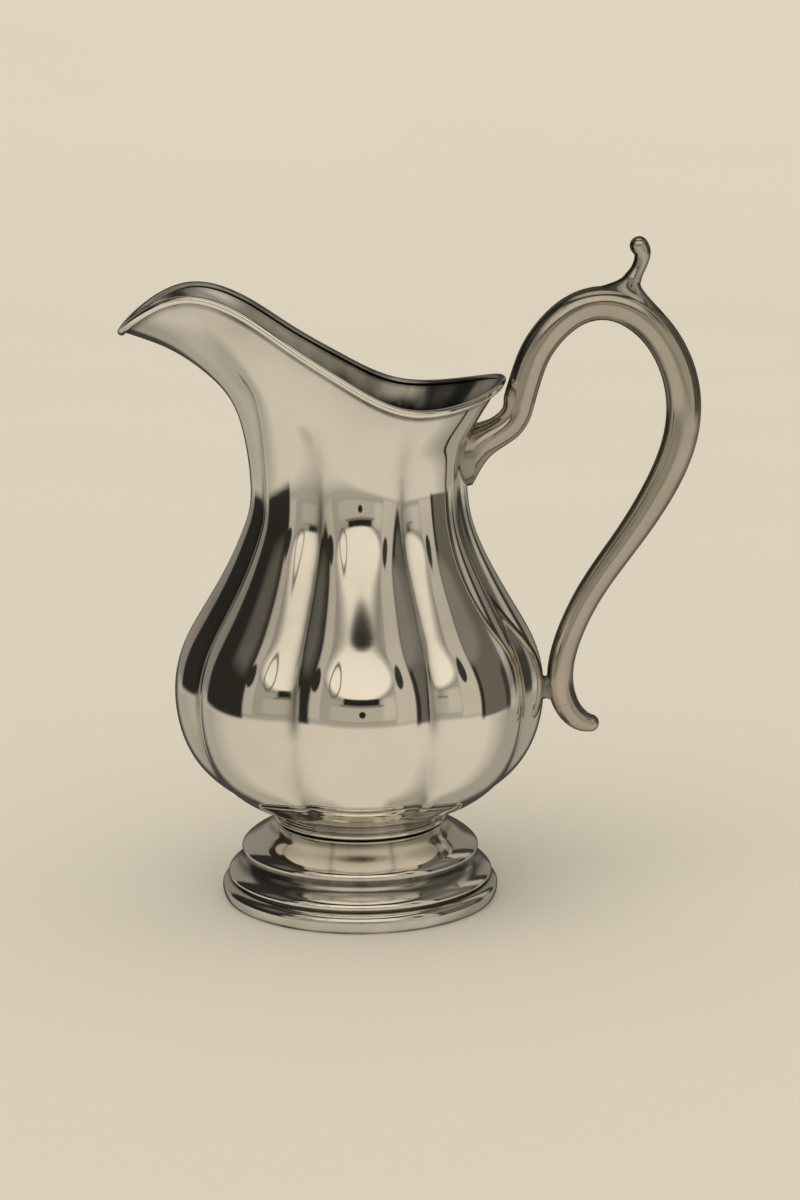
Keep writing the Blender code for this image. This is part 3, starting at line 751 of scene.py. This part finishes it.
def makeFloor():
    # a round sheet of cream paper, flat under the pitcher and curling up far away on every side
    around = 128
    profile = [(r, 0.0) for r in (0.3, 1.0, studio["floorFlat"])]
    for a in np.linspace(0, pi / 2, 24)[1:]:
        profile.append((studio["floorFlat"] + studio["floorBend"] * sin(a),
                        studio["floorBend"] * (1 - cos(a))))
    turn = np.linspace(0, 2 * pi, around, endpoint=False)
    points = [(0.0, 0.0, 0.0)] + [(r * cos(a), r * sin(a), z) for r, z in profile for a in turn]
    faces = [(0, 1 + i, 1 + (i + 1) % around) for i in range(around)]
    faces += [tuple(1 + corner for corner in reversed(face))
              for face in gridFaces(len(profile), around)]
    mesh = bpy.data.meshes.new("paper_sweep")
    mesh.from_pydata(points, [], faces)
    mesh.shade_smooth()
    paper = bpy.data.materials.new("cream_drawing_paper")
    paper.use_nodes = True
    tree = paper.node_tree
    shader = tree.nodes["Principled BSDF"]
    shader.inputs["Roughness"].default_value = 0.9
    shader.inputs["Specular IOR Level"].default_value = 0.1
    place = addNode(tree, "ShaderNodeTexCoord").outputs["Object"]
    # the sheet's tooth, drawn four times as coarse as real paper so that it shows
    tooth = addNode(tree, "ShaderNodeTexNoise", {"Scale": 1 / (3.5 * mm), "Detail": 5.0},
                    {"Vector": place}).outputs["Fac"]
    clouds = addNode(tree, "ShaderNodeTexNoise", {"Scale": 3.0, "Detail": 2.0},
                     {"Vector": place}).outputs["Fac"]
    mottle = addNode(tree, "ShaderNodeMath", {"operation": "MULTIPLY_ADD", 1: 0.5, 2: 0.1},
                     {0: addNode(tree, "ShaderNodeMath", {"operation": "ADD"},
                                 {0: tooth, 1: clouds}).outputs[0]})
    tint = addNode(tree, "ShaderNodeMix", {"data_type": "RGBA", 6: linear(studio["paperGrain"]),
                                           7: linear(studio["paper"])}, {0: mottle.outputs[0]})
    tree.links.new(tint.outputs[2], shader.inputs["Base Color"])
    mesh.materials.append(paper)
    floor = bpy.data.objects.new("paper_sweep", mesh)
    bpy.context.scene.collection.objects.link(floor)
    floor.visible_glossy = False
    floor.visible_diffuse = False


def makeWorld():
    # even pale light for the paper; the silver sees the cards and drapes instead
    world = bpy.data.worlds.new("studio")
    bpy.context.scene.world = world
    world.use_nodes = True
    tree = world.node_tree
    tree.nodes.clear()

    def math(operation, a, b=0.0, c=0.0, clamp=False):
        node = addNode(tree, "ShaderNodeMath", {"operation": operation, "use_clamp": clamp})
        for i, value in enumerate((a, b, c)):
            if isinstance(value, (int, float)):
                node.inputs[i].default_value = value
            else:
                tree.links.new(value, node.inputs[i])
        return node.outputs[0]

    heading = addNode(tree, "ShaderNodeTexCoord").outputs["Generated"]
    split = addNode(tree, "ShaderNodeSeparateXYZ", None, {0: heading})
    toFront = math("MULTIPLY", split.outputs["Y"], -1.0)
    around = math("MULTIPLY", math("ARCTAN2", split.outputs["X"], toFront), 180 / pi)
    up = math("MULTIPLY", math("ARCSINE", split.outputs["Z"]), 180 / pi)

    def within(value, low, high, soft):
        # 1 between the two, falling to 0 over the soft edge
        middle, half = (low + high) / 2, (high - low) / 2
        away = math("ABSOLUTE", math("SUBTRACT", value, middle))
        return math("MULTIPLY_ADD", away, -1 / (2 * soft), (half + soft) / (2 * soft), clamp=True)

    def layer(below, amount, level):
        return math("MULTIPLY_ADD", math("SUBTRACT", level, below), amount, below)

    def addCards(light, cards):
        for left, right, low, high, level, softAcross, softUp in cards:
            amount = math("MULTIPLY", within(around, left, right, softAcross),
                          within(up, low, high, softUp))
            light = layer(light, amount, level)
        return light

    light = addCards(reflections["wall"], reflections["cards"])
    for across, height, halfWidth, halfHeight, rim, level in reflections["rounds"]:
        x = math("MULTIPLY", math("SUBTRACT", around, across), 1 / halfWidth)
        y = math("MULTIPLY", math("SUBTRACT", up, height), 1 / halfHeight)
        reach = math("SQRT", math("MULTIPLY_ADD", x, x, math("MULTIPLY", y, y)))
        if rim:
            amount = within(reach, 1 - rim / halfWidth, 1.0, 0.06)
        else:
            amount = within(reach, -1.0, 1.0, 0.10)
        light = layer(light, amount, level)
    light = addCards(light, reflections["bars"])
    green, blue = [math("MULTIPLY", light, share) for share in reflections["warmth"]]
    colour = addNode(tree, "ShaderNodeCombineColor", None, {0: light, 1: green, 2: blue})
    mirrored = addNode(tree, "ShaderNodeBackground", {"Strength": 1.0}, {0: colour.outputs[0]})
    plain = addNode(tree, "ShaderNodeBackground", {0: linear(studio["surround"]),
                                                   1: studio["surroundStrength"]})
    glossy = addNode(tree, "ShaderNodeLightPath").outputs["Is Glossy Ray"]
    both = addNode(tree, "ShaderNodeMixShader", None, {0: glossy, 1: plain.outputs[0],
                                                       2: mirrored.outputs[0]})
    addNode(tree, "ShaderNodeOutputWorld", None, {0: both.outputs[0]})


def makeKeyLight():
    # a wide soft key from the front left, for the paper's shading and the shadow under the foot
    lamp = bpy.data.lights.new("soft_key", "SUN")
    lamp.energy = studio["keyStrength"]
    lamp.angle = radians(60)
    lamp.color = (1.0, 0.97, 0.92)
    key = bpy.data.objects.new("soft_key", lamp)
    key.rotation_euler = (radians(30), radians(-22), 0.0)
    key.visible_glossy = False
    bpy.context.scene.collection.objects.link(key)


def makeCamera():
    turn = radians(studio["azimuth"])
    view = bpy.data.cameras.new("view")
    view.lens = studio["lens"]
    view.clip_end = 50.0
    camera = bpy.data.objects.new("view", view)
    camera.location = (studio["aimX"] + studio["distance"] * sin(turn),
                       -studio["distance"] * cos(turn), studio["height"])
    camera.rotation_euler = (radians(90 - studio["pitch"]), 0.0, turn)
    bpy.context.scene.collection.objects.link(camera)
    bpy.context.scene.camera = camera
    bpy.context.scene.view_settings.view_transform = "Standard"


makeFloor()
makeWorld()
makeKeyLight()
makeCamera()
print("studio ready")
